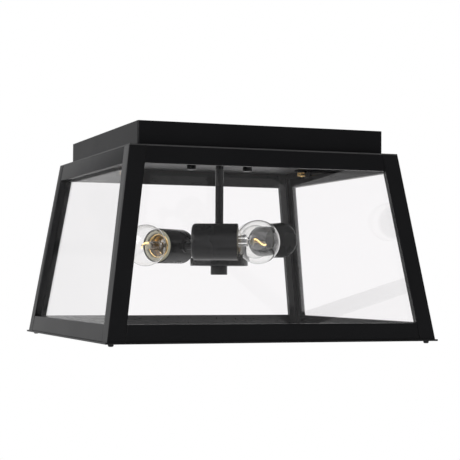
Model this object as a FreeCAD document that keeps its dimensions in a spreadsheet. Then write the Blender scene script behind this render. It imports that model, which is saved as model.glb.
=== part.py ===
"""Square porch ceiling lantern: a black frame with four clear panes that hangs under a
square ceiling canopy, open below, with three lamp holders in a pinwheel on one stem.

Frame of the part: the origin is the centre of the ceiling plane, +Z is up and the lantern
reaches down in -Z. -Y is the front and +X the right side. All lengths are in millimetres.
A "drop" is a distance below the ceiling plane.
"""
import FreeCAD, Part
import math
import os
import Sketcher

Vector = FreeCAD.Vector

# ---------------------------------------------------------------- driving dimensions
SIZES = [
    # canopy against the ceiling
    ("canopy_width", 299.0, "outside width of the square canopy pan"),
    ("canopy_height", 27.5, "height of the canopy pan, and drop of the lantern body's top"),
    ("canopy_wall", 1.2, "sheet thickness of the canopy"),
    ("canopy_bend", 2.6, "outside radius of the canopy's bends"),
    # lantern body, a frame that widens downwards
    ("body_top_width", 325.4, "width of the body at its top"),
    ("body_bottom_width", 390.0, "width of the body at its bottom"),
    ("body_height", 215.0, "height of the body from the roof plate's top to the flange"),
    ("roof_thickness", 1.6, "thickness of the roof plate"),
    ("post_face", 19.8, "width of each leg of a corner post"),
    ("bar_depth", 7.4, "depth of the posts and rails, measured level"),
    ("post_round", 0.8, "radius along a post's outer corner"),
    ("top_rail_height", 19.3, "height of a top rail"),
    ("bottom_rail_height", 18.75, "height of a bottom rail"),
    ("joint_gap", 0.1, "gap between a rail's end and the post"),
    ("rail_bevel", 0.5, "bevel along the outer edges of a rail's ends"),
    # panes
    ("glass_thickness", 3.0, "thickness of a pane"),
    ("pane_head_gap", 7.3, "gap between the roof plate and a pane's top edge"),
    ("pane_side_gap", 0.8, "gap between a pane's side and the next pane"),
    ("pane_foot_gap", 0.3, "gap between a pane's foot and the flange it stands on"),
    # bottom flange and its screws
    ("flange_overhang", 2.2, "how far the flange stands out past the body"),
    ("flange_thickness", 2.0, "thickness of the flange"),
    ("flange_ring", 17.0, "width of the flange under the body"),
    ("flange_screw_radius", 1.7, "radius of the flange screws' shanks"),
    ("flange_screw_length", 8.0, "how far the flange screws go up into the posts"),
    ("flange_screw_end_gap", 1.0, "gap between a flange screw's end and its blind hole"),
    ("flange_head_radius", 3.1, "radius of the flange screws' heads"),
    ("flange_head_height", 2.8, "height of the flange screws' heads"),
    # pane clips under the roof plate
    ("clip_offset", 80.5, "distance of a clip from the middle of its pane"),
    ("clip_width", 12.0, "width of a pane clip"),
    ("clip_thickness", 2.0, "sheet thickness of a pane clip"),
    ("clip_reach", 16.0, "length of a pane clip across the roof plate"),
    ("clip_lip", 8.4, "height of a pane clip's lip against the pane"),
    ("clip_seat_gap", 0.3, "gap between a clip's lip and the pane"),
    ("thumb_radius", 6.2, "radius of the clips' brass thumb screws"),
    ("thumb_height", 5.5, "height of the thumb screws' heads"),
    ("thumb_shank_radius", 1.9, "radius of the thumb screws' shanks"),
    ("thumb_shank_end", 0.9, "how far a shank stands out below its brass head"),
    # ceiling crossbar, studs and cap nuts
    ("bar_length", 114.0, "length of each arm pair of the crossbar"),
    ("bar_width", 22.0, "width of the crossbar's arms"),
    ("bar_thickness", 2.0, "thickness of the crossbar"),
    ("box_screw_spacing", 79.4, "distance between the slots for the outlet box screws"),
    ("box_slot_length", 24.0, "end to end length of those slots"),
    ("box_slot_radius", 2.4, "half the width of those slots"),
    ("stud_spacing", 73.6, "distance between the two studs"),
    ("stud_radius", 2.5, "radius of a stud"),
    ("stud_end_gap", 1.5, "gap between a stud's end and the cap nut's blind bore"),
    ("cap_radius", 5.15, "radius of a cap nut"),
    ("cap_height", 10.2, "height of a cap nut"),
    ("cap_crown", 2.2, "thickness of a cap nut's closed end"),
    ("cap_round", 0.7, "radius of a cap nut's lower edge"),
    # stem, hub and finial
    ("stem_radius", 5.0, "radius of the stem tube"),
    ("stem_bore", 3.4, "radius of the stem's wire way"),
    ("stem_top_drop", 12.0, "drop of the stem's upper end, inside the canopy"),
    ("wire_exit_radius", 2.4, "radius of the hole that lets the wires out of the stem"),
    ("wire_exit_rise", 12.0, "height of that hole's middle above the bracket"),
    ("stem_shoulder", 1.5, "thickness of the stem's shoulder under the roof plate"),
    ("stem_shoulder_radius", 7.0, "radius of that shoulder"),
    ("nut_height", 4.8, "height of the stem's hexagon nuts"),
    ("nut_flats", 14.0, "width across flats of the stem's nuts"),
    ("hub_drop", 158.2, "drop of the hub dish's underside"),
    ("hub_radius", 34.5, "radius of the hub dish"),
    ("hub_height", 6.4, "height of the hub dish"),
    ("hub_wall", 1.5, "sheet thickness of the hub dish"),
    ("hub_round", 1.2, "radius of the dish's lower edge"),
    ("bracket_sheet", 2.0, "sheet thickness of the holder bracket"),
    ("bracket_reach", 31.0, "distance from the stem's axis to a tab's outer face"),
    ("bracket_centre_radius", 15.0, "radius of the bracket's middle"),
    ("tab_width", 22.0, "width of a bracket tab"),
    ("tab_head", 6.6, "height of the tabs above the highest arm's axis"),
    ("tab_corner", 3.5, "radius of a tab's upper corners"),
    ("finial_radius", 9.8, "radius of the finial"),
    ("finial_height", 10.5, "height of the finial"),
    ("finial_bore_depth", 6.4, "depth of the finial's blind bore"),
    ("stem_end_gap", 1.0, "gap between the stem's end and the end of that bore"),
    ("finial_round", 0.6, "radius of the finial's lower edge"),
    # arms and lamp holders
    ("arm_heading", 6.43, "angle of the right arm from +X, in degrees"),
    ("arm_reach", 75.15, "distance from the stem's axis to a holder's axis"),
    ("arm_radius", 5.0, "radius of an arm tube"),
    ("arm_bore", 3.2, "radius of an arm's wire way"),
    ("arm_nut_height", 4.0, "height of the hexagons on an arm"),
    ("arm_tail", 1.5, "how far an arm stands out past its inner hexagon"),
    ("arm_end", 1.0, "how far an arm reaches into its cup"),
    ("arm_seat_gap", 0.3, "gap between an arm's outer hexagon and the holder"),
    ("holder_drop_front", 130.7, "drop of the front holder's axis"),
    ("holder_drop_left", 133.5, "drop of the left holder's axis"),
    ("holder_drop_right", 126.0, "drop of the right holder's axis"),
    ("holder_radius", 21.0, "outside radius of a holder's cup"),
    ("holder_length", 54.2, "length of a holder's cup"),
    ("holder_wall", 1.2, "wall thickness of a holder's cup"),
    ("holder_round", 4.6, "outside radius of the cup's rear edge"),
    ("insulator_radius", 17.3, "outside radius of the lamp socket's insulator"),
    ("insulator_foot_radius", 12.0, "radius of the insulator's foot on the cup's rear wall"),
    ("insulator_foot_length", 9.0, "length of that foot"),
    ("insulator_recess", 3.5, "how far the insulator's rim lies inside the cup's mouth"),
    ("contact_recess_radius", 5.0, "radius of the recess round the centre contact"),
    ("contact_recess_depth", 2.4, "depth of the recess round the centre contact"),
    ("contact_sheet", 0.7, "thickness of the centre contact's strip"),
    ("contact_width", 5.0, "width of the centre contact's strip"),
    ("contact_reach", 4.0, "half the length of the centre contact's strip"),
    ("contact_bend", 1.12, "distance from the strip's end to its upright part"),
    ("contact_gap", 0.15, "gap between the centre contact and the bulb's tip"),
    ("shell_wall", 0.6, "thickness of the socket's screw shell"),
    ("shell_seat_gap", 0.14, "radial gap between the screw shell and the insulator"),
    ("shell_rim_gap", 3.0, "distance from the insulator's rim down to the screw shell"),
    ("shell_floor_bore", 7.0, "radius of the hole in the screw shell's ring floor"),
    # bulbs
    ("bulb_radius", 26.0, "outside radius of a bulb's globe"),
    ("bulb_reach", 23.9, "distance from a cup's mouth to the globe's centre"),
    ("bulb_wall", 0.9, "glass thickness of a bulb"),
    ("bulb_neck_radius", 12.5, "outside radius of a bulb's neck"),
    ("bulb_neck_depth", 17.5, "depth of the neck's closed end inside the cup's mouth"),
    ("bulb_seat_gap", 0.3, "gap between the glass mount's foot and the neck's end"),
    ("base_radius", 13.2, "outside radius of a bulb's screw base"),
    ("base_wall", 0.5, "thickness of a bulb's screw base"),
    ("base_thread_gap", 0.06, "radial running clearance between base and screw shell"),
    ("base_rim_depth", 7.0, "depth of the base's rim inside the cup's mouth"),
    ("base_length", 21.0, "length of the base's cylinder"),
    ("base_cone", 3.0, "length of the base's cone"),
    ("tip_radius", 4.8, "radius of a bulb's tip contact"),
    ("base_end_radius", 5.8, "radius of the base's flat end round the tip contact"),
    ("tip_height", 2.9, "height of a bulb's tip contact"),
    ("tip_gap", 0.05, "gap between the tip contact and the base"),
    ("mount_radius", 3.2, "radius of the glass mount inside a bulb"),
    ("mount_foot_radius", 9.0, "radius of the glass mount's foot"),
    ("mount_flare", 6.0, "length of the glass mount's flared foot"),
    ("filament_radius", 0.9, "radius of one filament stick"),
    ("filament_length", 24.0, "length of the filament sticks"),
    ("filament_circle", 3.4, "radius of the circle that the sticks stand on"),
    ("filament_disc", 0.8, "thickness of the discs that hold the sticks"),
    ("filament_disc_rim", 0.6, "how far those discs reach past the sticks"),
    ("filament_seat", 0.2, "how deep a stick's end stands in the upper disc"),
    ("cut_margin", 3.0, "how far a cut runs past the piece that it trims"),
    # small clearances
    ("turning_gap", 0.05, "running clearance of the cap nuts and the finial"),
    ("hole_gap", 0.1, "radial clearance of the holes for stem, arms, studs and screws"),
]

doc = FreeCAD.newDocument("porch_ceiling_lantern")
sheet = doc.addObject("Spreadsheet::Sheet", "sizes")
for row, (alias, value, meaning) in enumerate(SIZES, start=1):
    sheet.set(f"A{row}", meaning)
    sheet.set(f"B{row}", str(value))
    sheet.setAlias(f"B{row}", alias)
doc.recompute()

SIDES = ["front", "right", "back", "left"]
CORNERS = ["front_left", "front_right", "back_right", "back_left"]
HOLDERS = ["right", "left", "front"]
QUARTER_TURN = 90.0
THIRD_TURN = 120.0

# Expressions that several sub-parts share.
LEAN = "((sizes.body_bottom_width - sizes.body_top_width) / 2 / sizes.body_height)"
LEAN_LENGTH = f"sqrt(1 + {LEAN} * {LEAN})"
ROOF_DROP = "(sizes.canopy_height + sizes.roof_thickness)"
FLANGE_DROP = "(sizes.canopy_height + sizes.body_height)"
CUP_BORE = "(sizes.holder_radius - sizes.holder_wall)"
HUB_FLOOR_DROP = "(sizes.hub_drop - sizes.hub_wall)"
BASE_END = "(sizes.base_rim_depth + sizes.base_length + sizes.base_cone)"
TIP_END = f"({BASE_END} + sizes.tip_gap + sizes.tip_height)"
SOCKET_FLOOR = f"({TIP_END} + sizes.contact_gap + sizes.contact_sheet)"
SHELL_BORE = "(sizes.base_radius + sizes.base_thread_gap)"
SOCKET_BORE = f"({SHELL_BORE} + sizes.shell_wall + sizes.shell_seat_gap)"
TAB_TOP = ("(sizes.tab_head - min(sizes.holder_drop_front; sizes.holder_drop_left;"
           " sizes.holder_drop_right))")


def size(alias):
    """The number that the sheet holds under an alias."""
    return float(sheet.get(alias))


def half_width(drop):
    """Expression for half the body's width at a drop below the ceiling."""
    return f"(sizes.body_top_width / 2 + ({drop} - sizes.canopy_height) * {LEAN})"


# ---------------------------------------------------------------- sketches and features
def new_body(label):
    """An empty body whose label names the sub-part."""
    body = doc.addObject("PartDesign::Body", label)
    body.Label = label
    return body


def origin_feature(body, role):
    """One of the body's own origin planes or axes."""
    return [part for part in body.Origin.OriginFeatures if part.Role == role][0]


def new_sketch(body, role, lift):
    """A sketch on an origin plane, lifted along the plane's normal by an expression."""
    sketch = body.newObject("Sketcher::SketchObject", "Sketch")
    sketch.AttachmentSupport = [(origin_feature(body, role), "")]
    sketch.MapMode = "FlatFace"
    sketch.setExpression("AttachmentOffset.Base.z", lift)
    return sketch


def place_point(sketch, line, end, across, along):
    """Tie one point of a sketch to the sheet by two expressions."""
    for kind, axis, expression in (("DistanceX", -2, across), ("DistanceY", -1, along)):
        if expression == "0":
            sketch.addConstraint(Sketcher.Constraint("PointOnObject", line, end, axis))
        else:
            constraint = Sketcher.Constraint(kind, -1, 1, line, end, 1.0)
            index = sketch.addConstraint(constraint)
            sketch.setExpression(f"Constraints[{index}]", expression)


def add_outline(sketch, corners):
    """A closed outline of straight lines with each corner tied to the sheet."""
    first = sketch.GeometryCount
    count = len(corners)
    for index in range(count):
        start = math.radians(360.0 * index / count)
        stop = math.radians(360.0 * (index + 1) / count)
        line = Part.LineSegment(Vector(10 * math.cos(start), 10 * math.sin(start), 0),
                                Vector(10 * math.cos(stop), 10 * math.sin(stop), 0))
        sketch.addGeometry(line)
    for index in range(count):
        after = first + (index + 1) % count
        sketch.addConstraint(Sketcher.Constraint("Coincident", first + index, 2, after, 1))
    for index, (across, along) in enumerate(corners):
        place_point(sketch, first + index, 1, across, along)


def add_circle(sketch, across, along, radius):
    """A circle whose centre and radius are tied to the sheet."""
    line = sketch.addGeometry(Part.Circle(Vector(0, 0, 0), Vector(0, 0, 1), 1.0))
    place_point(sketch, line, 3, across, along)
    index = sketch.addConstraint(Sketcher.Constraint("Radius", line, 1.0))
    sketch.setExpression(f"Constraints[{index}]", radius)


def rectangle(left, low, right, high):
    """The four corners of a rectangle."""
    return [(left, low), (right, low), (right, high), (left, high)]


def square(half):
    """The four corners of a square about the axis."""
    return rectangle(f"-{half}", f"-{half}", half, half)


def pad(body, sketch, length, both_ways=False):
    """A pad along the sketch's normal."""
    feature = body.newObject("PartDesign::Pad", "Pad")
    feature.Profile = sketch
    feature.setExpression("Length", length)
    if both_ways:
        feature.Midplane = True
    return feature


def pocket(body, sketch, length, upwards=False):
    """A pocket that cuts against the sketch's normal, or along it if upwards."""
    feature = body.newObject("PartDesign::Pocket", "Pocket")
    feature.Profile = sketch
    feature.setExpression("Length", length)
    feature.Reversed = upwards
    return feature


def revolve(body, corners, lift="0"):
    """A full turn of an outline in the XZ plane about the body's Z axis."""
    sketch = new_sketch(body, "XZ_Plane", lift)
    add_outline(sketch, corners)
    feature = body.newObject("PartDesign::Revolution", "Revolution")
    feature.Profile = sketch
    feature.ReferenceAxis = (sketch, ["V_Axis"])
    feature.Angle = 360.0
    return feature


def round_edges(body, base, radius, chosen):
    """Fillet the edges of a feature that the test chooses."""
    doc.recompute()
    names = [f"Edge{number}" for number, edge in enumerate(base.Shape.Edges, start=1)
             if chosen(edge)]
    feature = body.newObject("PartDesign::Fillet", "Fillet")
    feature.Base = (base, names)
    feature.setExpression("Radius", radius)
    return feature


def bevel_edges(body, base, width, chosen):
    """Chamfer the edges of a feature that the test chooses."""
    doc.recompute()
    names = [f"Edge{number}" for number, edge in enumerate(base.Shape.Edges, start=1)
             if chosen(edge)]
    feature = body.newObject("PartDesign::Chamfer", "Chamfer")
    feature.Base = (base, names)
    feature.setExpression("Size", width)
    return feature


def cylinder(body, radius, height, across, along, lowest):
    """A cylinder feature that stands on a point of the body."""
    feature = body.newObject("PartDesign::AdditiveCylinder", "Cylinder")
    feature.setExpression("Radius", radius)
    feature.setExpression("Height", height)
    feature.setExpression("Placement.Base.x", across)
    feature.setExpression("Placement.Base.y", along)
    feature.setExpression("Placement.Base.z", lowest)
    return feature


def turned_copies(body, features, count):
    """Repeat features about the body's Z axis."""
    pattern = body.newObject("PartDesign::PolarPattern", "PolarPattern")
    pattern.Originals = features
    pattern.Axis = (origin_feature(body, "Z_Axis"), [""])
    pattern.Angle = 360.0
    pattern.Occurrences = count
    body.Tip = pattern
    return pattern


def hexagon(flats):
    """The six corners of a hexagon with a given width across its flats."""
    corner = f"({flats} / sqrt(3))"
    half = f"({flats} / sqrt(3) / 2)"
    flat = f"({flats} / 2)"
    return [(corner, "0"), (half, flat), (f"-{half}", flat),
            (f"-{corner}", "0"), (f"-{half}", f"-{flat}"), (half, f"-{flat}")]


def four_places(across, along):
    """A place and its three copies turned by quarters about the middle."""
    return [(across, along), (f"-({along})", across), (f"-({across})", f"-({along})"),
            (along, f"-({across})")]


def on_circle_of(edge, radius, height):
    """Whether an edge is a full circle of this radius at this height on the body's axis."""
    curve = edge.Curve
    if not isinstance(curve, Part.Circle):
        return False
    return abs(curve.Radius - radius) < 0.01 and abs(curve.Center.z - height) < 0.01


# ---------------------------------------------------------------- ceiling parts
def make_crossbar():
    """Cross-shaped bar with two slots for the outlet box and two tapped stud holes."""
    body = new_body("crossbar")
    end = "(sizes.bar_length / 2)"
    side = "(sizes.bar_width / 2)"
    plate = new_sketch(body, "XY_Plane", "-sizes.bar_thickness")
    add_outline(plate, [
        (f"-{side}", f"-{end}"), (side, f"-{end}"), (side, f"-{side}"), (end, f"-{side}"),
        (end, side), (side, side), (side, end), (f"-{side}", end),
        (f"-{side}", side), (f"-{end}", side), (f"-{end}", f"-{side}"), (f"-{side}", f"-{side}")])
    pad(body, plate, "sizes.bar_thickness")
    slot_middle = "sizes.box_screw_spacing / 2"
    slot_run = "(sizes.box_slot_length / 2 - sizes.box_slot_radius)"
    rounds = new_sketch(body, "XY_Plane", "0")
    flats = new_sketch(body, "XY_Plane", "0")
    for sign in ("", "-"):
        for step in ("-", "+"):
            centre = f"{sign}({slot_middle} {step} {slot_run})"
            add_circle(rounds, "0", centre, "sizes.box_slot_radius")
        add_circle(rounds, f"{sign}(sizes.stud_spacing / 2)", "0",
                   "sizes.stud_radius + sizes.hole_gap")
        add_outline(flats, rectangle("-sizes.box_slot_radius",
                                     f"{sign}({slot_middle} - {slot_run})",
                                     "sizes.box_slot_radius",
                                     f"{sign}({slot_middle} + {slot_run})"))
    pocket(body, rounds, "sizes.bar_thickness")
    pocket(body, flats, "sizes.bar_thickness")


def make_canopy_studs():
    """Two studs from the crossbar down through canopy and roof plate to the cap nuts."""
    body = new_body("canopy_studs")
    body.AllowCompound = True
    lowest = f"-({ROOF_DROP} + sizes.turning_gap + sizes.cap_height - sizes.cap_crown"
    lowest += " - sizes.stud_end_gap)"
    stud = cylinder(body, "sizes.stud_radius", f"-{lowest}", "sizes.stud_spacing / 2", "0", lowest)
    turned_copies(body, [stud], 2)


def add_ceiling_holes(body, lift, depth):
    """Holes for the stem and the two studs through a plate of the ceiling side."""
    holes = new_sketch(body, "XY_Plane", lift)
    add_circle(holes, "0", "0", "sizes.stem_radius + sizes.hole_gap")
    for sign in ("", "-"):
        add_circle(holes, f"{sign}(sizes.stud_spacing / 2)", "0",
                   "sizes.stud_radius + sizes.hole_gap")
    pocket(body, holes, depth)


def make_canopy():
    """Square sheet pan, open towards the ceiling."""
    body = new_body("canopy")
    half = "(sizes.canopy_width / 2)"
    outside = new_sketch(body, "XY_Plane", "-sizes.canopy_height")
    add_outline(outside, square(half))
    block = pad(body, outside, "sizes.canopy_height")
    round_edges(body, block, "sizes.canopy_bend", lambda edge: edge.CenterOfMass.z < -1e-3)
    inside = new_sketch(body, "XY_Plane", "0")
    add_outline(inside, square(f"({half} - sizes.canopy_wall)"))
    pocket(body, inside, "sizes.canopy_height - sizes.canopy_wall")
    add_ceiling_holes(body, "-(sizes.canopy_height - sizes.canopy_wall)", "sizes.canopy_wall")


def make_roof_plate():
    """Flat plate that closes the body's top and carries the stem."""
    body = new_body("roof_plate")
    plate = new_sketch(body, "XY_Plane", f"-{ROOF_DROP}")
    add_outline(plate, square("(sizes.body_top_width / 2)"))
    pad(body, plate, "sizes.roof_thickness")
    add_ceiling_holes(body, "-sizes.canopy_height", "sizes.roof_thickness")
    holes = new_sketch(body, "XY_Plane", "-sizes.canopy_height")
    for across, along in four_places(*clip_screw_place()):
        add_circle(holes, across, along, "sizes.thumb_shank_radius + sizes.hole_gap")
    pocket(body, holes, "sizes.roof_thickness")


def make_cap_nut(label, side):
    """Round cap nut on the lower end of a stud."""
    body = new_body(label)
    bore = "(sizes.stud_radius + sizes.turning_gap)"
    top = f"-({ROOF_DROP} + sizes.turning_gap)"
    crown = f"({top} - sizes.cap_height + sizes.cap_crown)"
    base = f"({top} - sizes.cap_height)"
    turned = revolve(body, [("0", base), ("sizes.cap_radius", base), ("sizes.cap_radius", top),
                            (bore, top), (bore, crown), ("0", crown)])
    radius = size("cap_radius")
    lowest = -(size("canopy_height") + size("roof_thickness") + size("turning_gap")
               + size("cap_height"))
    round_edges(body, turned, "sizes.cap_round",
                lambda edge: on_circle_of(edge, radius, lowest))
    body.setExpression("Placement.Base.x", f"{side} * sizes.stud_spacing / 2")


# ---------------------------------------------------------------- frame of the body
def make_post(label, turns):
    """Angle-section corner post that leans outwards towards its foot."""
    body = new_body(label)
    corner = half_width(FLANGE_DROP)
    leg = f"({corner} - sizes.post_face)"
    inner = f"({corner} - sizes.bar_depth)"
    foot = new_sketch(body, "XY_Plane", f"-{FLANGE_DROP}")
    add_outline(foot, [(f"-{corner}", f"-{corner}"), (f"-{leg}", f"-{corner}"),
                       (f"-{leg}", f"-{inner}"), (f"-{inner}", f"-{inner}"),
                       (f"-{inner}", f"-{leg}"), (f"-{corner}", f"-{leg}")])
    shaft = pad(body, foot, "sizes.body_height - sizes.roof_thickness")
    shaft.UseCustomVector = True
    shaft.AlongSketchNormal = True
    shaft.Direction = Vector(lean_ratio(), lean_ratio(), 1)
    doc.recompute()
    box = shaft.Shape.BoundBox
    round_edges(body, shaft, "sizes.post_round", lambda edge: is_outer_corner(edge, box))
    hole = new_sketch(body, "XY_Plane", f"-{FLANGE_DROP}")
    add_circle(hole, f"-{flange_screw_place()}", f"-{flange_screw_place()}",
               "sizes.flange_screw_radius + sizes.hole_gap")
    pocket(body, hole, "sizes.flange_screw_length + sizes.flange_screw_end_gap", upwards=True)
    body.Placement.Rotation = FreeCAD.Rotation(Vector(0, 0, 1), QUARTER_TURN * turns)


def lean_ratio():
    """How far the body's sides lean outwards for each millimetre of drop."""
    return (size("body_bottom_width") - size("body_top_width")) / 2 / size("body_height")


def is_outer_corner(edge, box):
    """Whether an edge runs from the lowest to the highest level on the outermost corner."""
    low, high = sorted((vertex.Point for vertex in edge.Vertexes), key=lambda point: point.z)
    if high.z - low.z < 0.9 * (box.ZMax - box.ZMin):
        return False
    return abs(low.x - box.XMin) < 0.01 and abs(low.y - box.YMin) < 0.01


def make_rail(label, low_drop, high_drop, turns):
    """Bar between two posts, with its ends cut to the posts' lean."""
    body = new_body(label)
    section = new_sketch(body, "YZ_Plane", "0")
    low_face = half_width(low_drop)
    high_face = half_width(high_drop)
    add_outline(section, [(f"-{low_face}", f"-{low_drop}"),
                          (f"-({low_face} - sizes.bar_depth)", f"-{low_drop}"),
                          (f"-({high_face} - sizes.bar_depth)", f"-{high_drop}"),
                          (f"-{high_face}", f"-{high_drop}")])
    blank = f"({low_face} - sizes.post_face + sizes.cut_margin)"
    pad(body, section, f"2 * {blank}", both_ways=True)
    cuts = new_sketch(body, "XZ_Plane", "0")
    low_end = f"({low_face} - sizes.post_face - sizes.joint_gap)"
    high_end = f"({high_face} - sizes.post_face - sizes.joint_gap)"
    for sign in ("", "-"):
        add_outline(cuts, [(f"{sign}{low_end}", f"-{low_drop}"),
                           (f"{sign}({blank} + sizes.cut_margin)", f"-{low_drop}"),
                           (f"{sign}({blank} + sizes.cut_margin)", f"-{high_drop}"),
                           (f"{sign}{high_end}", f"-{high_drop}")])
    shaft = pocket(body, cuts, f"{low_face} + sizes.cut_margin", upwards=True)
    bevel_edges(body, shaft, "sizes.rail_bevel", is_outer_end)
    body.Placement.Rotation = FreeCAD.Rotation(Vector(0, 0, 1), QUARTER_TURN * turns)


def is_outer_end(edge):
    """Whether an edge stands at one end of the front rail's outer face."""
    low, high = sorted((vertex.Point for vertex in edge.Vertexes), key=lambda point: point.z)
    face = size("body_top_width") / 2 + (-low.z - size("canopy_height")) * lean_ratio()
    return high.z - low.z > 1.0 and abs(low.y + face) < 0.01


def make_pane(label, turns):
    """Flat glass pane on the inner faces of posts and rails, standing on the flange."""
    body = new_body(label)
    head_drop = f"({ROOF_DROP} + sizes.pane_head_gap)"
    sink = f"(sizes.glass_thickness * {LEAN} / {LEAN_LENGTH})"
    length = f"(({FLANGE_DROP} - sizes.pane_foot_gap - {sink} - {head_drop}) * {LEAN_LENGTH})"
    inset = "(sizes.bar_depth + sizes.glass_thickness + sizes.pane_side_gap)"
    head = f"({half_width(head_drop)} - {inset})"
    widening = f"({LEAN} / {LEAN_LENGTH})"
    foot = f"({head} + {length} * {widening})"
    face = new_sketch(body, "XZ_Plane", "0")
    add_outline(face, [(f"-{foot}", f"-{length}"), (foot, f"-{length}"), (head, "0"),
                       (f"-{head}", "0")])
    sheet_of_glass = pad(body, face, "sizes.glass_thickness")
    sheet_of_glass.Reversed = True
    lean = lean_ratio()
    drop = size("canopy_height") + size("roof_thickness") + size("pane_head_gap")
    depth = size("body_top_width") / 2 + (drop - size("canopy_height")) * lean - size("bar_depth")
    tilt = FreeCAD.Placement(Vector(0, -depth, -drop),
                             FreeCAD.Rotation(Vector(1, 0, 0), -math.degrees(math.atan(lean))))
    turn = FreeCAD.Placement(Vector(0, 0, 0),
                             FreeCAD.Rotation(Vector(0, 0, 1), QUARTER_TURN * turns))
    body.Placement = turn.multiply(tilt)


def flange_screw_place():
    """Expression for a flange screw's distance from the middle planes."""
    return f"({half_width(FLANGE_DROP)} - sizes.bar_depth / 2)"


def make_bottom_flange():
    """Square ring under the posts that the panes stand on."""
    body = new_body("bottom_flange")
    lift = f"-({FLANGE_DROP} + sizes.flange_thickness)"
    outer = new_sketch(body, "XY_Plane", lift)
    add_outline(outer, square("(sizes.body_bottom_width / 2 + sizes.flange_overhang)"))
    pad(body, outer, "sizes.flange_thickness")
    inner = new_sketch(body, "XY_Plane", f"-{FLANGE_DROP}")
    add_outline(inner, square("(sizes.body_bottom_width / 2 - sizes.flange_ring)"))
    for across in ("", "-"):
        for along in ("", "-"):
            add_circle(inner, f"{across}{flange_screw_place()}", f"{along}{flange_screw_place()}",
                       "sizes.flange_screw_radius + sizes.hole_gap")
    pocket(body, inner, "sizes.flange_thickness")


def make_flange_screws():
    """Four screws that hold the flange to the posts' feet."""
    body = new_body("flange_screws")
    body.AllowCompound = True
    place = flange_screw_place()
    under = f"({FLANGE_DROP} + sizes.flange_thickness)"
    head = cylinder(body, "sizes.flange_head_radius", "sizes.flange_head_height",
                    place, place, f"-({under} + sizes.flange_head_height)")
    shank = cylinder(body, "sizes.flange_screw_radius",
                     "sizes.flange_thickness + sizes.flange_screw_length",
                     place, place, f"-{under}")
    turned_copies(body, [head, shank], len(CORNERS))


# ---------------------------------------------------------------- pane clips
def clip_lip_place():
    """Expression for the distance of a clip lip's outer face from the middle plane."""
    head_drop = f"({ROOF_DROP} + sizes.pane_head_gap)"
    glass = f"(sizes.glass_thickness * {LEAN_LENGTH})"
    return f"({half_width(head_drop)} - sizes.bar_depth - {glass} - sizes.clip_seat_gap)"


def clip_screw_place():
    """Expressions for the place of the right pane's clip screw."""
    across = f"({clip_lip_place()} - sizes.clip_thickness - sizes.thumb_radius)"
    return across, "sizes.clip_offset"


def make_pane_clips():
    """Four bent clips under the roof plate that keep the panes against the frame."""
    body = new_body("pane_clips")
    body.AllowCompound = True
    lip = clip_lip_place()
    top = f"(-{ROOF_DROP})"
    sheet_low = f"({top} - sizes.clip_thickness)"
    lip_low = f"({sheet_low} - sizes.clip_lip)"
    profile = new_sketch(body, "XZ_Plane", "-(sizes.clip_offset)")
    back = f"({lip} - sizes.clip_reach)"
    inner = f"({lip} - sizes.clip_thickness)"
    add_outline(profile, [(back, top), (lip, top), (lip, lip_low), (inner, lip_low),
                          (inner, sheet_low), (back, sheet_low)])
    bent = pad(body, profile, "sizes.clip_width", both_ways=True)
    across, along = clip_screw_place()
    hole = new_sketch(body, "XY_Plane", top)
    add_circle(hole, across, along, "sizes.thumb_shank_radius + sizes.hole_gap")
    drilled = pocket(body, hole, "sizes.clip_thickness")
    turned_copies(body, [bent, drilled], len(SIDES))


def make_clip_screws():
    """Four brass thumb screws that hold the pane clips."""
    body = new_body("clip_screws")
    body.AllowCompound = True
    across, along = clip_screw_place()
    under = f"({ROOF_DROP} + sizes.clip_thickness)"
    head = cylinder(body, "sizes.thumb_radius", "sizes.thumb_height", across, along,
                    f"-({under} + sizes.thumb_height)")
    end = f"({under} + sizes.thumb_height + sizes.thumb_shank_end)"
    shank = cylinder(body, "sizes.thumb_shank_radius", f"{end} - sizes.canopy_height",
                     across, along, f"-{end}")
    turned_copies(body, [head, shank], len(SIDES))


# ---------------------------------------------------------------- stem and hub
def make_stem():
    """Threaded tube from the canopy down to the finial, with a shoulder under the roof."""
    body = new_body("stem")
    low = "(-(sizes.hub_drop + sizes.turning_gap + sizes.finial_bore_depth"
    low += " - sizes.stem_end_gap))"
    shoulder = f"(-{ROOF_DROP})"
    shoulder_low = f"({shoulder} - sizes.stem_shoulder)"
    revolve(body, [("sizes.stem_bore", low), ("sizes.stem_radius", low),
                   ("sizes.stem_radius", shoulder_low),
                   ("sizes.stem_shoulder_radius", shoulder_low),
                   ("sizes.stem_shoulder_radius", shoulder), ("sizes.stem_radius", shoulder),
                   ("sizes.stem_radius", "-sizes.stem_top_drop"),
                   ("sizes.stem_bore", "-sizes.stem_top_drop")])
    exits = new_sketch(body, "XZ_Plane", "-(sizes.stem_radius + sizes.cut_margin)")
    add_circle(exits, "0", f"-({HUB_FLOOR_DROP} - sizes.bracket_sheet - sizes.wire_exit_rise)",
               "sizes.wire_exit_radius")
    pocket(body, exits, "2 * (sizes.stem_radius + sizes.cut_margin)", upwards=True)


def make_stem_nuts():
    """Two hexagon nuts, one on the canopy's floor and one on the holder bracket."""
    body = new_body("stem_nuts")
    body.AllowCompound = True
    canopy_floor = "(-(sizes.canopy_height - sizes.canopy_wall))"
    bracket_top = f"(-({HUB_FLOOR_DROP} - sizes.bracket_sheet))"
    for seat in (canopy_floor, bracket_top):
        profile = new_sketch(body, "XY_Plane", seat)
        add_outline(profile, hexagon("sizes.nut_flats"))
        add_circle(profile, "0", "0", "sizes.stem_radius + sizes.hole_gap")
        pad(body, profile, "sizes.nut_height")


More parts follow.
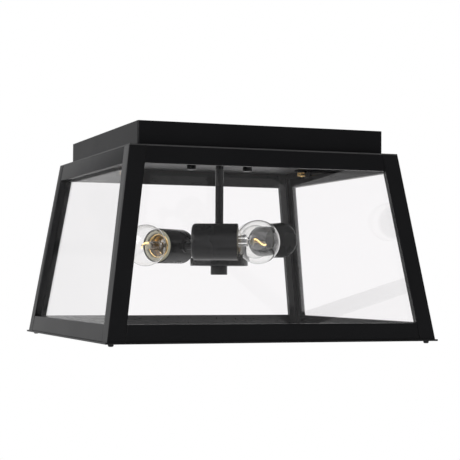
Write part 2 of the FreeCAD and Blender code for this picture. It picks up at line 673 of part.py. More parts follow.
def make_hub_dish():
    """Shallow round dish under the holder bracket."""
    body = new_body("hub_dish")
    base = "(-sizes.hub_drop)"
    floor = f"(-{HUB_FLOOR_DROP})"
    rim = f"({base} + sizes.hub_height)"
    bore = "(sizes.stem_radius + sizes.hole_gap)"
    inner = "(sizes.hub_radius - sizes.hub_wall)"
    turned = revolve(body, [(bore, base), ("sizes.hub_radius", base), ("sizes.hub_radius", rim),
                            (inner, rim), (inner, floor), (bore, floor)])
    radius = size("hub_radius")
    lowest = -size("hub_drop")
    round_edges(body, turned, "sizes.hub_round",
                lambda edge: on_circle_of(edge, radius, lowest))


def make_holder_bracket():
    """Sheet star in the hub dish whose three bent-up tabs carry the arms."""
    body = new_body("holder_bracket")
    low = f"(-{HUB_FLOOR_DROP})"
    middle = new_sketch(body, "XY_Plane", low)
    add_circle(middle, "0", "0", "sizes.bracket_centre_radius")
    pad(body, middle, "sizes.bracket_sheet")
    leg = new_sketch(body, "XY_Plane", low)
    side = "(sizes.tab_width / 2)"
    add_outline(leg, rectangle("0", f"-{side}", "sizes.bracket_reach", side))
    foot = pad(body, leg, "sizes.bracket_sheet")
    wall = new_sketch(body, "YZ_Plane", "sizes.bracket_reach - sizes.bracket_sheet")
    add_outline(wall, rectangle(f"-{side}", low, side, TAB_TOP))
    tab = pad(body, wall, "sizes.bracket_sheet")
    star = turned_copies(body, [foot, tab], len(HOLDERS))
    top = size("tab_head") - min(size(f"holder_drop_{name}") for name in HOLDERS)
    round_edges(body, star, "sizes.tab_corner", lambda edge: is_tab_corner(edge, top))
    bore = new_sketch(body, "XY_Plane", f"({low} + sizes.bracket_sheet)")
    add_circle(bore, "0", "0", "sizes.stem_radius + sizes.hole_gap")
    pocket(body, bore, "sizes.bracket_sheet")
    for turns, name in enumerate(HOLDERS):
        hole = body.newObject("PartDesign::SubtractiveCylinder", "ArmHole")
        hole.setExpression("Radius", "sizes.arm_radius + sizes.hole_gap")
        hole.setExpression("Height", "sizes.bracket_sheet * 3")
        heading = THIRD_TURN * turns
        cosine = f"cos({heading} deg)"
        sine = f"sin({heading} deg)"
        start = "(sizes.bracket_reach - 2 * sizes.bracket_sheet)"
        hole.setExpression("Placement.Base.x", f"{start} * {cosine}")
        hole.setExpression("Placement.Base.y", f"{start} * {sine}")
        hole.setExpression("Placement.Base.z", f"-sizes.holder_drop_{name}")
        hole.Placement.Rotation = FreeCAD.Rotation(
            Vector(0, 0, 1), Vector(math.cos(math.radians(heading)),
                                    math.sin(math.radians(heading)), 0))
    body.setExpression("Placement.Rotation.Angle", "sizes.arm_heading * 1 deg")


def is_tab_corner(edge, top):
    """Whether an edge is a short level one across the sheet at a tab's upper corner."""
    first, last = edge.Vertexes[0].Point, edge.Vertexes[-1].Point
    level = abs(first.z - top) < 0.01 and abs(last.z - top) < 0.01
    return level and abs(edge.Length - size("bracket_sheet")) < 0.01


def make_finial():
    """Round nut under the hub dish that closes the stem's end."""
    body = new_body("finial")
    bore = "(sizes.stem_radius + sizes.turning_gap)"
    top = "(-(sizes.hub_drop + sizes.turning_gap))"
    base = f"({top} - sizes.finial_height)"
    seat = f"({top} - sizes.finial_bore_depth)"
    turned = revolve(body, [("0", base), ("sizes.finial_radius", base),
                            ("sizes.finial_radius", top), (bore, top), (bore, seat),
                            ("0", seat)])
    radius = size("finial_radius")
    lowest = -(size("hub_drop") + size("turning_gap") + size("finial_height"))
    round_edges(body, turned, "sizes.finial_round",
                lambda edge: on_circle_of(edge, radius, lowest))


# ---------------------------------------------------------------- arms and lamp holders
def heading_of(turns):
    """Unit vector along one arm, level and away from the stem."""
    angle = math.radians(size("arm_heading") + THIRD_TURN * turns)
    return Vector(math.cos(angle), math.sin(angle), 0)


def arm_placement(turns, name):
    """Placement whose Z axis runs out along an arm from the stem's axis."""
    outward = heading_of(turns)
    up = Vector(0, 0, 1)
    rotation = FreeCAD.Rotation(up, outward.cross(up), outward, "ZXY")
    return FreeCAD.Placement(Vector(0, 0, -size(f"holder_drop_{name}")), rotation)


def holder_placement(turns, name):
    """Placement at a cup's mouth: Z runs out of the mouth and X points to the stem."""
    outward = heading_of(turns)
    mouth = Vector(-outward.y, outward.x, 0)
    centre = outward * size("arm_reach") + mouth * (size("holder_length") / 2)
    centre.z = -size(f"holder_drop_{name}")
    inward = outward * -1
    rotation = FreeCAD.Rotation(inward, mouth.cross(inward), mouth, "ZXY")
    return FreeCAD.Placement(centre, rotation)


def make_arm(turns, name):
    """Short tube with three hexagons that carries a holder from its bracket tab."""
    body = new_body(f"arm_{name}")
    tab_inner = "(sizes.bracket_reach - sizes.bracket_sheet)"
    start = f"({tab_inner} - sizes.arm_nut_height - sizes.arm_tail)"
    end = f"(sizes.arm_reach - {CUP_BORE} + sizes.arm_end)"
    revolve(body, [("sizes.arm_bore", start), ("sizes.arm_radius", start),
                   ("sizes.arm_radius", end), ("sizes.arm_bore", end)])
    cup_face = "(sizes.arm_reach - sizes.holder_radius - sizes.arm_seat_gap)"
    seats = (f"({tab_inner} - sizes.arm_nut_height)", "sizes.bracket_reach",
             f"({cup_face} - sizes.arm_nut_height)")
    for seat in seats:
        profile = new_sketch(body, "XY_Plane", seat)
        add_outline(profile, hexagon("sizes.nut_flats"))
        add_circle(profile, "0", "0", "(sizes.arm_bore + sizes.arm_radius) / 2")
        pad(body, profile, "sizes.arm_nut_height")
    body.Placement = arm_placement(turns, name)


def make_cup(turns, name):
    """Black cup of a lamp holder, with a rounded rear edge and a side hole for the arm."""
    body = new_body(f"holder_cup_{name}")
    rear = "(-sizes.holder_length)"
    rear_inner = "(-(sizes.holder_length - sizes.holder_wall))"
    turned = revolve(body, [("0", rear), ("sizes.holder_radius", rear),
                            ("sizes.holder_radius", "0"), (CUP_BORE, "0"),
                            (CUP_BORE, rear_inner), ("0", rear_inner)])
    radius = size("holder_radius")
    bore = radius - size("holder_wall")
    length = size("holder_length")
    rounded = round_edges(body, turned, "sizes.holder_round",
                          lambda edge: on_circle_of(edge, radius, -length))
    round_edges(body, rounded, "sizes.holder_round - sizes.holder_wall",
                lambda edge: on_circle_of(edge, bore, size("holder_wall") - length))
    hole = new_sketch(body, "YZ_Plane", f"({CUP_BORE} - sizes.cut_margin)")
    add_circle(hole, "0", "(-sizes.holder_length / 2)", "sizes.arm_radius + sizes.hole_gap")
    pocket(body, hole, "sizes.holder_wall + 2 * sizes.cut_margin", upwards=True)
    body.Placement = holder_placement(turns, name)


def make_insulator(turns, name):
    """Cream ceramic body of a lamp socket, with the bore for its screw shell."""
    body = new_body(f"socket_insulator_{name}")
    rear = "(-(sizes.holder_length - sizes.holder_wall))"
    foot = f"({rear} + sizes.insulator_foot_length)"
    rim = "(-sizes.insulator_recess)"
    floor = f"(-{SOCKET_FLOOR})"
    recess = f"({floor} - sizes.contact_recess_depth)"
    revolve(body, [("0", rear), ("sizes.insulator_foot_radius", rear),
                   ("sizes.insulator_foot_radius", foot), ("sizes.insulator_radius", foot),
                   ("sizes.insulator_radius", rim), (SOCKET_BORE, rim), (SOCKET_BORE, floor),
                   ("sizes.contact_recess_radius", floor),
                   ("sizes.contact_recess_radius", recess), ("0", recess)])
    body.Placement = holder_placement(turns, name)


def make_screw_shell(turns, name):
    """Brass screw shell of a lamp socket, with a ring floor."""
    body = new_body(f"screw_shell_{name}")
    outer = f"({SHELL_BORE} + sizes.shell_wall)"
    rim = "(-(sizes.insulator_recess + sizes.shell_rim_gap))"
    low = f"(-{SOCKET_FLOOR})"
    floor = f"({low} + sizes.shell_wall)"
    ring = "sizes.shell_floor_bore"
    revolve(body, [(ring, low), (outer, low), (outer, rim), (SHELL_BORE, rim),
                   (SHELL_BORE, floor), (ring, floor)])
    body.Placement = holder_placement(turns, name)


def make_contact(turns, name):
    """Springy brass strip that meets the bulb's tip contact."""
    body = new_body(f"centre_contact_{name}")
    low = f"(-({SOCKET_FLOOR} + sizes.contact_recess_depth))"
    high = f"(-({TIP_END} + sizes.contact_gap))"
    reach = "sizes.contact_reach"
    sheet_low = f"({low} + sizes.contact_sheet)"
    sheet_high = f"({high} - sizes.contact_sheet)"
    bend = "sizes.contact_bend"
    profile = new_sketch(body, "XZ_Plane", "0")
    add_outline(profile, [(f"-{reach}", low), (reach, low), (reach, sheet_low),
                          (f"(-{reach} + {bend} + sizes.contact_sheet)", sheet_low),
                          (f"(-{reach} + {bend} + sizes.contact_sheet)", sheet_high),
                          (reach, sheet_high), (reach, high), (f"(-{reach} + {bend})", high),
                          (f"(-{reach} + {bend})", sheet_low), (f"-{reach}", sheet_low)])
    pad(body, profile, "sizes.contact_width", both_ways=True)
    body.Placement = holder_placement(turns, name)


# ---------------------------------------------------------------- bulbs
def make_bulb_tip(turns, name):
    """Solder tip of a bulb."""
    body = new_body(f"bulb_tip_{name}")
    top = f"(-({BASE_END} + sizes.tip_gap))"
    low = f"(-{TIP_END})"
    turned = revolve(body, [("0", low), ("sizes.tip_radius", low), ("sizes.tip_radius", top),
                            ("0", top)])
    radius = size("tip_radius")
    lowest = -(size("base_rim_depth") + size("base_length") + size("base_cone")
               + size("tip_gap") + size("tip_height"))
    round_edges(body, turned, "sizes.tip_height / 2",
                lambda edge: on_circle_of(edge, radius, lowest))
    body.Placement = holder_placement(turns, name)


def make_bulb_base(turns, name):
    """Thin brass screw base of a bulb."""
    body = new_body(f"bulb_base_{name}")
    rim = "(-sizes.base_rim_depth)"
    low = "(-(sizes.base_rim_depth + sizes.base_length))"
    end = f"(-{BASE_END})"
    inner = "(sizes.base_radius - sizes.base_wall)"
    floor = f"({end} + sizes.base_wall)"
    revolve(body, [("0", end), ("sizes.base_end_radius", end), ("sizes.base_radius", low),
                   ("sizes.base_radius", rim), (inner, rim), (inner, low),
                   ("sizes.base_end_radius", floor), ("0", floor)])
    body.Placement = holder_placement(turns, name)


def make_bulb_globe(turns, name):
    """Clear glass envelope of a bulb: a globe on a short neck, hollow inside."""
    label = f"bulb_globe_{name}"
    neck_low = "(-sizes.bulb_neck_depth)"
    neck_length = f"(sizes.bulb_reach - {neck_low})"
    solids = []
    for part, wall in (("outside", "0"), ("inside", "sizes.bulb_wall")):
        ball = doc.addObject("Part::Sphere", f"{label}_{part}_ball")
        ball.setExpression("Radius", f"sizes.bulb_radius - {wall}")
        ball.setExpression("Placement.Base.z", "sizes.bulb_reach")
        neck = doc.addObject("Part::Cylinder", f"{label}_{part}_neck")
        neck.setExpression("Radius", f"sizes.bulb_neck_radius - {wall}")
        neck.setExpression("Height", f"{neck_length} - {wall}")
        neck.setExpression("Placement.Base.z", f"{neck_low} + {wall}")
        whole = doc.addObject("Part::Fuse", f"{label}_{part}")
        whole.Base = ball
        whole.Tool = neck
        solids.append(whole)
    globe = doc.addObject("Part::Cut", label)
    globe.Base = solids[0]
    globe.Tool = solids[1]
    globe.Label = label
    globe.Placement = holder_placement(turns, name)


def make_filament(turns, name):
    """Glass mount with four filament sticks between two discs."""
    body = new_body(f"bulb_filament_{name}")
    foot = "(-(sizes.bulb_neck_depth - sizes.bulb_wall - sizes.bulb_seat_gap))"
    low_disc = "(sizes.bulb_reach - sizes.filament_length / 2)"
    high_disc = "(sizes.bulb_reach + sizes.filament_length / 2)"
    disc = "(sizes.filament_circle + sizes.filament_radius + sizes.filament_disc_rim)"
    flare = f"({foot} + sizes.mount_flare)"
    revolve(body, [("0", foot), ("sizes.mount_foot_radius", foot),
                   ("sizes.mount_radius", flare), ("sizes.mount_radius", low_disc),
                   (disc, low_disc), (disc, f"({low_disc} + sizes.filament_disc)"),
                   ("0", f"({low_disc} + sizes.filament_disc)")])
    cap = new_sketch(body, "XY_Plane", high_disc)
    add_circle(cap, "0", "0", disc)
    stick = cylinder(body, "sizes.filament_radius",
                     "sizes.filament_length + sizes.filament_seat",
                     "sizes.filament_circle", "0", low_disc)
    turned_copies(body, [stick], 4)
    pad(body, cap, "sizes.filament_disc")
    body.Placement = holder_placement(turns, name)


# ---------------------------------------------------------------- the whole lantern
def make_lantern():
    """Build every sub-part."""
    make_crossbar()
    make_canopy_studs()
    make_canopy()
    make_roof_plate()
    make_cap_nut("cap_nut_left", -1)
    make_cap_nut("cap_nut_right", 1)
    for turns, corner in enumerate(CORNERS):
        make_post(f"post_{corner}", turns)
    top_rail_low = f"({ROOF_DROP} + sizes.top_rail_height)"
    bottom_rail_high = f"({FLANGE_DROP} - sizes.bottom_rail_height)"
    for turns, side in enumerate(SIDES):
        make_rail(f"top_rail_{side}", top_rail_low, ROOF_DROP, turns)
        make_rail(f"bottom_rail_{side}", FLANGE_DROP, bottom_rail_high, turns)
        make_pane(f"pane_{side}", turns)
    make_bottom_flange()
    make_flange_screws()
    make_pane_clips()
    make_clip_screws()
    make_stem()
    make_stem_nuts()
    make_hub_dish()
    make_holder_bracket()
    make_finial()
    for turns, name in enumerate(HOLDERS):
        make_arm(turns, name)
        make_cup(turns, name)
        make_insulator(turns, name)
        make_screw_shell(turns, name)
        make_contact(turns, name)
        make_bulb_tip(turns, name)
        make_bulb_base(turns, name)
        make_bulb_globe(turns, name)
        make_filament(turns, name)


def is_sub_part(item):
    """Whether a document object is one finished sub-part."""
    if item.TypeId == "PartDesign::Body":
        return True
    return item.TypeId == "Part::Cut" and not item.InList


def check_and_export():
    """Stop if anything failed, then write one file per sub-part."""
    doc.recompute()
    for item in doc.Objects:
        if "Invalid" in item.State or "Error" in item.State:
            raise RuntimeError(f"{item.Label} is {item.State}")
    parts = [item for item in doc.Objects if is_sub_part(item)]
    for item in parts:
        if item.Shape.isNull() or not item.Shape.isValid() or item.Shape.Volume <= 0:
            raise RuntimeError(f"{item.Label} has no sound shape")
    os.makedirs("parts", exist_ok=True)
    for item in parts:
        item.Shape.exportStep(os.path.join("parts", item.Label + ".step"))
    print(len(parts), "sub-parts written")


make_lantern()
check_and_export()
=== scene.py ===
"""Looks of the porch ceiling lantern: black coated frame, clear panes, round clear bulbs.

Metres, in the CAD's own frame: the origin is on the ceiling, +Z is up and -Y is the front.
"""
import math
import bmesh
import bpy
from mathutils import Matrix, Vector


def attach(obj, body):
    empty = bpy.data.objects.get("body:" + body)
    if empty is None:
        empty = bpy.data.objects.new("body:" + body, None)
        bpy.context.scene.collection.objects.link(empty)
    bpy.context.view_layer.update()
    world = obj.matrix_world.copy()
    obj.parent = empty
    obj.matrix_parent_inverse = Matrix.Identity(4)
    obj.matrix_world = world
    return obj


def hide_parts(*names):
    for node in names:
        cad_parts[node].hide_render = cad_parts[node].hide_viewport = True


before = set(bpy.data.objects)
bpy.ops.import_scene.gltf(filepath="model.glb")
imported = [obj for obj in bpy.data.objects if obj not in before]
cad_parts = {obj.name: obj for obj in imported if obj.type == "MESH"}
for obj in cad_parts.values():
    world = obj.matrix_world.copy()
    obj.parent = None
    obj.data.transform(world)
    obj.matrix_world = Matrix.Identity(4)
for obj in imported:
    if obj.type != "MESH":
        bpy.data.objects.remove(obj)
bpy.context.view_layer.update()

MM = 0.001

# ------------------------------------------------------------------ sizes, in millimetres
HEADINGS = {"right": 6.43, "left": 126.43, "front": 246.43}
HOLDER_DROPS = {"right": 126.0, "left": 133.5, "front": 130.9}
ARM_REACH = 75.15
HOLDER_LENGTH = 54.2
SIDES = ["front", "right", "back", "left"]
CORNERS = ["front_left", "front_right", "back_right", "back_left"]
CLIP_ACROSS = 145.1
CLIP_ALONG = 80.5
CLIP_UNDERSIDE = -31.1
NUT_FLATS = 14.0


# ------------------------------------------------------------------ materials
def new_material(name):
    """A material with one Principled shader, and its node tree."""
    material = bpy.data.materials.new(name)
    material.use_nodes = True
    shader = material.node_tree.nodes["Principled BSDF"]
    return material, material.node_tree, shader


def add_node(tree, kind, **inputs):
    """A node with some of its inputs set by name."""
    node = tree.nodes.new(kind)
    for name, value in inputs.items():
        node.inputs[name.replace("_", " ")].default_value = value
    return node


def new_group(name, inputs, outputs):
    """An empty shader node group with named sockets."""
    group = bpy.data.node_groups.new(name, "ShaderNodeTree")
    for label, kind, value in inputs:
        item = group.interface.new_socket(name=label, in_out="INPUT", socket_type=kind)
        item.default_value = value
    for label, kind in outputs:
        group.interface.new_socket(name=label, in_out="OUTPUT", socket_type=kind)
    entry = group.nodes.new("NodeGroupInput")
    result = group.nodes.new("NodeGroupOutput")
    return group, entry, result


def make_surface_group():
    """Fine grain and slow mottling of colour and gloss, shared by the coated and metal finishes.
    """
    group, entry, result = new_group(
        "coat_surface",
        [("Colour", "NodeSocketColor", (0.5, 0.5, 0.5, 1.0)),
         ("Tint", "NodeSocketColor", (0.5, 0.5, 0.5, 1.0)),
         ("Grain Scale", "NodeSocketFloat", 1200.0),
         ("Mottle Scale", "NodeSocketFloat", 18.0),
         ("Gloss", "NodeSocketFloat", 0.4),
         ("Gloss Spread", "NodeSocketFloat", 0.1)],
        [("Colour", "NodeSocketColor"), ("Roughness", "NodeSocketFloat"),
         ("Height", "NodeSocketFloat")])
    links = group.links
    place = group.nodes.new("ShaderNodeTexCoord")
    grain = add_node(group, "ShaderNodeTexNoise", Detail=2.0, Roughness=0.6)
    links.new(place.outputs["Object"], grain.inputs["Vector"])
    links.new(entry.outputs["Grain Scale"], grain.inputs["Scale"])
    mottle = add_node(group, "ShaderNodeTexNoise", Detail=4.0, Roughness=0.55)
    links.new(place.outputs["Object"], mottle.inputs["Vector"])
    links.new(entry.outputs["Mottle Scale"], mottle.inputs["Scale"])
    mix = group.nodes.new("ShaderNodeMix")
    mix.data_type = "RGBA"
    links.new(mottle.outputs["Fac"], mix.inputs["Factor"])
    links.new(entry.outputs["Colour"], mix.inputs["A"])
    links.new(entry.outputs["Tint"], mix.inputs["B"])
    links.new(mix.outputs["Result"], result.inputs["Colour"])
    centred = add_node(group, "ShaderNodeMath")
    centred.operation = "SUBTRACT"
    links.new(mottle.outputs["Fac"], centred.inputs[0])
    centred.inputs[1].default_value = 0.5
    gloss = group.nodes.new("ShaderNodeMath")
    gloss.operation = "MULTIPLY_ADD"
    links.new(centred.outputs[0], gloss.inputs[0])
    links.new(entry.outputs["Gloss Spread"], gloss.inputs[1])
    links.new(entry.outputs["Gloss"], gloss.inputs[2])
    links.new(gloss.outputs[0], result.inputs["Roughness"])
    links.new(grain.outputs["Fac"], result.inputs["Height"])
    return group


SURFACE = make_surface_group()


def finish_with_surface(tree, shader, colour, tint, grain, mottle, gloss, spread, relief):
    """Drive a shader's colour, roughness and relief by the shared surface group."""
    surface = tree.nodes.new("ShaderNodeGroup")
    surface.node_tree = SURFACE
    surface.inputs["Colour"].default_value = (*colour, 1.0)
    surface.inputs["Tint"].default_value = (*tint, 1.0)
    surface.inputs["Grain Scale"].default_value = grain
    surface.inputs["Mottle Scale"].default_value = mottle
    surface.inputs["Gloss"].default_value = gloss
    surface.inputs["Gloss Spread"].default_value = spread
    bump = add_node(tree, "ShaderNodeBump", Strength=relief, Distance=0.0001)
    tree.links.new(surface.outputs["Colour"], shader.inputs["Base Color"])
    tree.links.new(surface.outputs["Roughness"], shader.inputs["Roughness"])
    tree.links.new(surface.outputs["Height"], bump.inputs["Height"])
    tree.links.new(bump.outputs["Normal"], shader.inputs["Normal"])


def make_black_coat(name, gloss, relief, index):
    """Satin black powder coat; its index sets how strongly it reflects, and two copies use that
    for a painted sheen and painted shade.
    """
    material, tree, shader = new_material(name)
    finish_with_surface(tree, shader, colour=(0.0150, 0.0150, 0.0165),
                        tint=(0.0200, 0.0200, 0.0220), grain=1400.0, mottle=14.0, gloss=gloss,
                        spread=0.10, relief=relief)
    shader.inputs["IOR"].default_value = index
    return material


def make_metal(name, colour, tint, gloss, relief):
    """Bare metal with a fine grain."""
    material, tree, shader = new_material(name)
    finish_with_surface(tree, shader, colour=colour, tint=tint, grain=900.0, mottle=60.0,
                        gloss=gloss, spread=0.16, relief=relief)
    shader.inputs["Metallic"].default_value = 1.0
    return material


def make_ceramic():
    """Cream glazed ceramic of the sockets."""
    material, tree, shader = new_material("socket_ceramic")
    finish_with_surface(tree, shader, colour=(0.78, 0.72, 0.58), tint=(0.70, 0.63, 0.48),
                        grain=500.0, mottle=90.0, gloss=0.35, spread=0.2, relief=0.15)
    return material


def make_filament():
    """Golden filament inside the bulbs, with a faint painted amber glow that stands in for its
    highlights.
    """
    material, tree, shader = new_material("filament_painted_glow")
    finish_with_surface(tree, shader, colour=(0.95, 0.62, 0.18), tint=(1.0, 0.78, 0.35),
                        grain=2500.0, mottle=200.0, gloss=0.45, spread=0.1, relief=0.3)
    # Painted glow: faint warm emission that stands in for the filament's highlights.
    shader.inputs["Emission Color"].default_value = (1.0, 0.70, 0.30, 1.0)
    shader.inputs["Emission Strength"].default_value = 1.8
    return material


def any_ray(tree, *kinds):
    """Socket that is 1 on rays of the named kinds and 0 on all others."""
    ray = tree.nodes.new("ShaderNodeLightPath")
    found = ray.outputs[f"Is {kinds[0]} Ray"]
    for kind in kinds[1:]:
        either = tree.nodes.new("ShaderNodeMath")
        either.operation = "MAXIMUM"
        tree.links.new(found, either.inputs[0])
        tree.links.new(ray.outputs[f"Is {kind} Ray"], either.inputs[1])
        found = either.outputs[0]
    return found


def mix_by(tree, share, plain, other, target):
    """Feed a socket with a plain shader, and with the other one where the share is 1."""
    mix = tree.nodes.new("ShaderNodeMixShader")
    tree.links.new(share, mix.inputs[0])
    tree.links.new(plain.outputs[0], mix.inputs[1])
    tree.links.new(other.outputs[0], mix.inputs[2])
    tree.links.new(mix.outputs[0], target)


def make_clear_glass(name, tint, index):
    """Clear glass that lets the lamps' light through without casting a dark shadow."""
    material, tree, shader = new_material(name)
    shader.inputs["Base Color"].default_value = (*tint, 1.0)
    shader.inputs["Metallic"].default_value = 0.0
    shader.inputs["Transmission Weight"].default_value = 1.0
    shader.inputs["IOR"].default_value = index
    smears = add_node(tree, "ShaderNodeTexNoise", Scale=9.0, Detail=3.0)
    place = tree.nodes.new("ShaderNodeTexCoord")
    tree.links.new(place.outputs["Object"], smears.inputs["Vector"])
    haze = add_node(tree, "ShaderNodeMapRange", From_Min=0.62, From_Max=0.9, To_Max=0.02)
    tree.links.new(smears.outputs["Fac"], haze.inputs["Value"])
    tree.links.new(haze.outputs["Result"], shader.inputs["Roughness"])
    clear = add_node(tree, "ShaderNodeBsdfTransparent", Color=(0.93, 0.94, 0.93, 1.0))
    mix_by(tree, any_ray(tree, "Shadow", "Diffuse"), shader, clear,
           tree.nodes["Material Output"].inputs["Surface"])
    return material


COAT = make_black_coat("black_powder_coat", gloss=0.36, relief=0.25, index=1.36)
# Roof plate coat with index 2.1: a painted sheen that makes the plate's underside look lighter.
COAT_UNDER_PAINTED_SHEEN = make_black_coat("black_plate_coat_painted_sheen", gloss=0.50, relief=0.10, index=2.1)
# Canopy and top-rail coat with index 1.25: painted shade, weaker reflections that keep the top
# darker.
COAT_TOP_PAINTED_SHADE = make_black_coat("black_canopy_coat_painted_shade", gloss=0.40, relief=0.25, index=1.25)
COAT_SMOOTH = make_black_coat("black_smooth_coat", gloss=0.27, relief=0.12, index=1.32)
ZINC = make_metal("zinc_plate", (0.62, 0.63, 0.62), (0.52, 0.54, 0.53), gloss=0.34, relief=0.2)
BRASS = make_metal("bright_brass", (0.83, 0.60, 0.27), (0.72, 0.47, 0.18), gloss=0.2, relief=0.15)
SOLDER = make_metal("solder_grey", (0.55, 0.55, 0.56), (0.42, 0.42, 0.43), gloss=0.42, relief=0.5)
CERAMIC = make_ceramic()
FILAMENT_PAINTED_GLOW = make_filament()
PANE_GLASS = make_clear_glass("pane_glass_clear", (0.975, 0.968, 0.973), index=1.28)
BULB_GLASS = make_clear_glass("bulb_glass_clear", (0.995, 0.995, 0.99), index=1.5)


# ------------------------------------------------------------------ camera, lights, floor
CAMERA_PLACE = (-0.58101, -1.61252, -0.17614)
CAMERA_YAW = 20.27
CAMERA_PITCH = 2.08
CAMERA_ROLL = 0.30
FOCAL_PIXELS = 1387.05
PHOTO_PIXELS = 460.0
LAMP_PLACE = (-2.2, -0.6, 0.9)
LAMP_AIM = (0.0, 0.0, -0.13)
LAMP_SIDE = 1.6
LAMP_POWER = 30.0
FLOOR_HEIGHT = -2.6
FLOOR_REACH = 12.0


def make_camera():
    """Camera at the photo's own place and angle."""
    yaw = math.radians(CAMERA_YAW)
    pitch = math.radians(CAMERA_PITCH)
    roll = math.radians(CAMERA_ROLL)
    right = Vector((math.cos(yaw), -math.sin(yaw), 0.0))
    ahead = Vector((math.sin(yaw), math.cos(yaw), 0.0))
    up = Vector((0.0, 0.0, 1.0))
    look = ahead * math.cos(pitch) + up * math.sin(pitch)
    top = -ahead * math.sin(pitch) + up * math.cos(pitch)
    side = right * math.cos(roll) + top * math.sin(roll)
    head = -right * math.sin(roll) + top * math.cos(roll)
    data = bpy.data.cameras.new("photo_camera")
    data.sensor_width = 36.0
    data.lens = FOCAL_PIXELS / PHOTO_PIXELS * data.sensor_width
    data.clip_end = 100.0
    camera = bpy.data.objects.new("photo_camera", data)
    bpy.context.scene.collection.objects.link(camera)
    turn = Matrix((side, head, -look)).transposed().to_4x4()
    camera.matrix_world = Matrix.Translation(CAMERA_PLACE) @ turn
    bpy.context.scene.camera = camera


def make_world():
    """White studio all round, dimmer behind the camera and at the left."""
    world = bpy.data.worlds.new("studio")
    bpy.context.scene.world = world
    world.use_nodes = True
    tree = world.node_tree
    tree.nodes.clear()
    out = tree.nodes.new("ShaderNodeOutputWorld")
    place = tree.nodes.new("ShaderNodeTexCoord")
    split = tree.nodes.new("ShaderNodeSeparateXYZ")
    tree.links.new(place.outputs["Generated"], split.inputs[0])
    behind = add_node(tree, "ShaderNodeMapRange", From_Min=-0.75, From_Max=0.15, To_Min=0.14)
    behind.interpolation_type = "SMOOTHSTEP"
    tree.links.new(split.outputs["Y"], behind.inputs["Value"])
    left = add_node(tree, "ShaderNodeMapRange", From_Min=-0.5, From_Max=0.1, To_Min=0.48)
    left.interpolation_type = "SMOOTHSTEP"
    tree.links.new(split.outputs["X"], left.inputs["Value"])
    level = tree.nodes.new("ShaderNodeMath")
    level.operation = "MULTIPLY"
    tree.links.new(behind.outputs["Result"], level.inputs[0])
    tree.links.new(left.outputs["Result"], level.inputs[1])
    studio = tree.nodes.new("ShaderNodeBackground")
    tree.links.new(level.outputs[0], studio.inputs["Strength"])
    white = add_node(tree, "ShaderNodeBackground", Color=(1.0, 1.0, 1.0, 1.0))
    mix_by(tree, any_ray(tree, "Camera", "Transmission"), studio, white, out.inputs["Surface"])


def make_lamp():
    """Soft square studio lamp at the upper left."""
    data = bpy.data.lights.new("lamp_left", "AREA")
    data.shape = "SQUARE"
    data.size = LAMP_SIDE
    data.energy = LAMP_POWER
    lamp = bpy.data.objects.new("lamp_left", data)
    bpy.context.scene.collection.objects.link(lamp)
    lamp.location = LAMP_PLACE
    aim = Vector(LAMP_AIM) - Vector(LAMP_PLACE)
    lamp.rotation_euler = aim.to_track_quat("-Z", "Y").to_euler()


def make_floor():
    """Plain pale floor well below the lantern, white wherever it is seen or reflected."""
    bm = bmesh.new()
    bmesh.ops.create_grid(bm, x_segments=1, y_segments=1, size=FLOOR_REACH)
    bmesh.ops.translate(bm, verts=bm.verts, vec=(0.0, 0.0, FLOOR_HEIGHT))
    mesh = bpy.data.meshes.new("floor")
    bm.to_mesh(mesh)
    bm.free()
    floor = bpy.data.objects.new("floor", mesh)
    bpy.context.scene.collection.objects.link(floor)
    material, tree, shader = new_material("pale_floor")
    shader.inputs["Base Color"].default_value = (0.82, 0.82, 0.82, 1.0)
    shader.inputs["Roughness"].default_value = 0.8
    white = add_node(tree, "ShaderNodeEmission", Strength=1.0)
    mix_by(tree, any_ray(tree, "Camera", "Transmission", "Glossy"), shader, white,
           tree.nodes["Material Output"].inputs["Surface"])
    mesh.materials.append(material)


# ------------------------------------------------------------------ mesh helpers
def add_piece(name, bm, material, body, smooth=True, replaces=()):
    """Turn a bmesh into a finished piece of the lantern."""
    mesh = bpy.data.meshes.new(name)
    bm.to_mesh(mesh)
    bm.free()
    if smooth:
        mesh.shade_smooth()
    mesh.materials.append(material)
    piece = bpy.data.objects.new(name, mesh)
    bpy.context.scene.collection.objects.link(piece)
    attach(piece, body)
    if replaces:
        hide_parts(*replaces)


def merge(target, extra):
    """Add one bmesh to another and free it."""
    mesh = bpy.data.meshes.new("part")
    extra.to_mesh(mesh)
    extra.free()
    target.from_mesh(mesh)
    bpy.data.meshes.remove(mesh)


def lathe(profile, steps, place=None):
    """A bmesh turned about Z from (radius, height) points in millimetres, then put in place."""
    bm = bmesh.new()
    dots = [bm.verts.new((radius * MM, 0.0, height * MM)) for radius, height in profile]
    edges = [bm.edges.new(pair) for pair in zip(dots, dots[1:])]
    bmesh.ops.spin(bm, geom=dots + edges, cent=(0, 0, 0), axis=(0, 0, 1),
                   angle=2 * math.pi, steps=steps, use_merge=True)
    bmesh.ops.remove_doubles(bm, verts=bm.verts, dist=1e-7)
    bmesh.ops.recalc_face_normals(bm, faces=bm.faces)
    if place is not None:
        bmesh.ops.transform(bm, matrix=place, verts=bm.verts)
    return bm


def arc(centre, radius, start, stop, steps):
    """Points of an arc in a profile, angles in degrees from the radius axis."""
    across, height = centre
    points = []
    for index in range(steps + 1):
        angle = math.radians(start + (stop - start) * index / steps)
        points.append((across + radius * math.cos(angle), height + radius * math.sin(angle)))
    return points


def four_places(across, along):
    """Matrices of a place in millimetres and of its quarter turns about the lantern's axis."""
    shift = Matrix.Translation((across * MM, along * MM, 0.0))
    return [Matrix.Rotation(math.radians(90.0 * quarter), 4, "Z") @ shift for quarter in range(4)]


